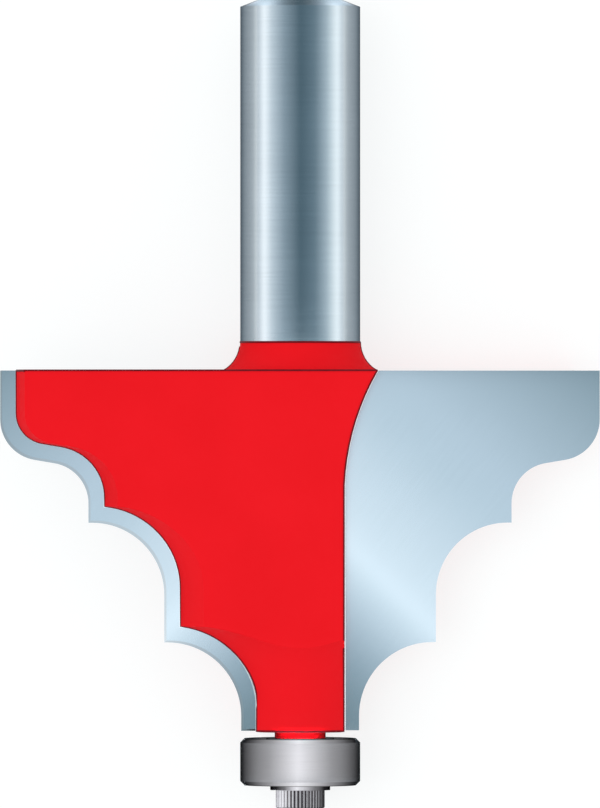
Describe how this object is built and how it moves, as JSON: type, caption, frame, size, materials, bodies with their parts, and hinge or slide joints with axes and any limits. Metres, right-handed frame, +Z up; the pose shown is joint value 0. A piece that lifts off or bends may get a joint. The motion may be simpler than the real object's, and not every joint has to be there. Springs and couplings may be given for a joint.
{
  "type": "crown moulding router bit with a guide bearing",
  "caption": "Stepped moulding router bit: straight shank, red steel wings with brazed carbide tips, ball-bearing guide and knurled cap screw.",
  "frame": {"origin": "on the bench, under the middle of the bit's box as it lies on one wing's flat back", "axes": "+Y along the spin axis towards the shank's end, +Z up from the bench, +X out along the wing that lies on the bench"},
  "size_m": [0.0634, 0.0856, 0.0168],
  "materials": {
    "painted_steel": "gloss",
    "carbide": "satin",
    "braze": "satin",
    "bearing_steel": "polished",
    "ball_steel": "polished",
    "cage": "satin",
    "shield": "satin",
    "wire": "satin",
    "black_steel": "satin"
  },
  "bodies": {
    "cutter": {"tool_body": "painted_steel", "carbide_tip_a": "carbide", "carbide_tip_b": "carbide", "braze_a": "braze", "braze_b": "braze", "inner_ring": "bearing_steel", "washer": "black_steel", "cap_screw": "black_steel"},
    "outer_race": {"outer_ring": "bearing_steel", "shield_upper": "shield", "shield_lower": "shield", "snap_wire_upper": "wire", "snap_wire_lower": "wire"},
    "cage": {"ball_cage": "cage"},
    "ball_1": {"ball_1": "ball_steel"},
    "ball_2": {"ball_2": "ball_steel"},
    "ball_3": {"ball_3": "ball_steel"},
    "ball_4": {"ball_4": "ball_steel"},
    "ball_5": {"ball_5": "ball_steel"},
    "ball_6": {"ball_6": "ball_steel"},
    "ball_7": {"ball_7": "ball_steel"}
  },
  "joints": [
    {"name": "outer_race_spin", "type": "hinge", "parent": "cutter", "child": "outer_race", "pos_m": [0, -0.03785, 0.0084], "axis": [0, 1, 0], "continuous": true},
    {"name": "cage_spin", "type": "hinge", "parent": "cutter", "child": "cage", "pos_m": [0, -0.03785, 0.0084], "axis": [0, 1, 0], "continuous": true},
    {"name": "ball_1_roll", "type": "hinge", "parent": "cage", "child": "ball_1", "pos_m": [0.00437, -0.03785, 0.0084], "axis": [0, 1, 0], "continuous": true},
    {"name": "ball_2_roll", "type": "hinge", "parent": "cage", "child": "ball_2", "pos_m": [0.00272, -0.03785, 0.00499], "axis": [0, 1, 0], "continuous": true},
    {"name": "ball_3_roll", "type": "hinge", "parent": "cage", "child": "ball_3", "pos_m": [-0.00097, -0.03785, 0.00414], "axis": [0, 1, 0], "continuous": true},
    {"name": "ball_4_roll", "type": "hinge", "parent": "cage", "child": "ball_4", "pos_m": [-0.00393, -0.03785, 0.00651], "axis": [0, 1, 0], "continuous": true},
    {"name": "ball_5_roll", "type": "hinge", "parent": "cage", "child": "ball_5", "pos_m": [-0.00393, -0.03785, 0.01029], "axis": [0, 1, 0], "continuous": true},
    {"name": "ball_6_roll", "type": "hinge", "parent": "cage", "child": "ball_6", "pos_m": [-0.00097, -0.03785, 0.01266], "axis": [0, 1, 0], "continuous": true},
    {"name": "ball_7_roll", "type": "hinge", "parent": "cage", "child": "ball_7", "pos_m": [0.00272, -0.03785, 0.01181], "axis": [0, 1, 0], "continuous": true}
  ],
  "couplings": [
    {"joint": "cage_spin", "follows": "outer_race_spin", "ratio": 0.63635},
    {"joint": "ball_1_roll", "follows": "outer_race_spin", "ratio": 1.6972},
    {"joint": "ball_2_roll", "follows": "outer_race_spin", "ratio": 1.6972},
    {"joint": "ball_3_roll", "follows": "outer_race_spin", "ratio": 1.6972},
    {"joint": "ball_4_roll", "follows": "outer_race_spin", "ratio": 1.6972},
    {"joint": "ball_5_roll", "follows": "outer_race_spin", "ratio": 1.6972},
    {"joint": "ball_6_roll", "follows": "outer_race_spin", "ratio": 1.6972},
    {"joint": "ball_7_roll", "follows": "outer_race_spin", "ratio": 1.6972}
  ]
}
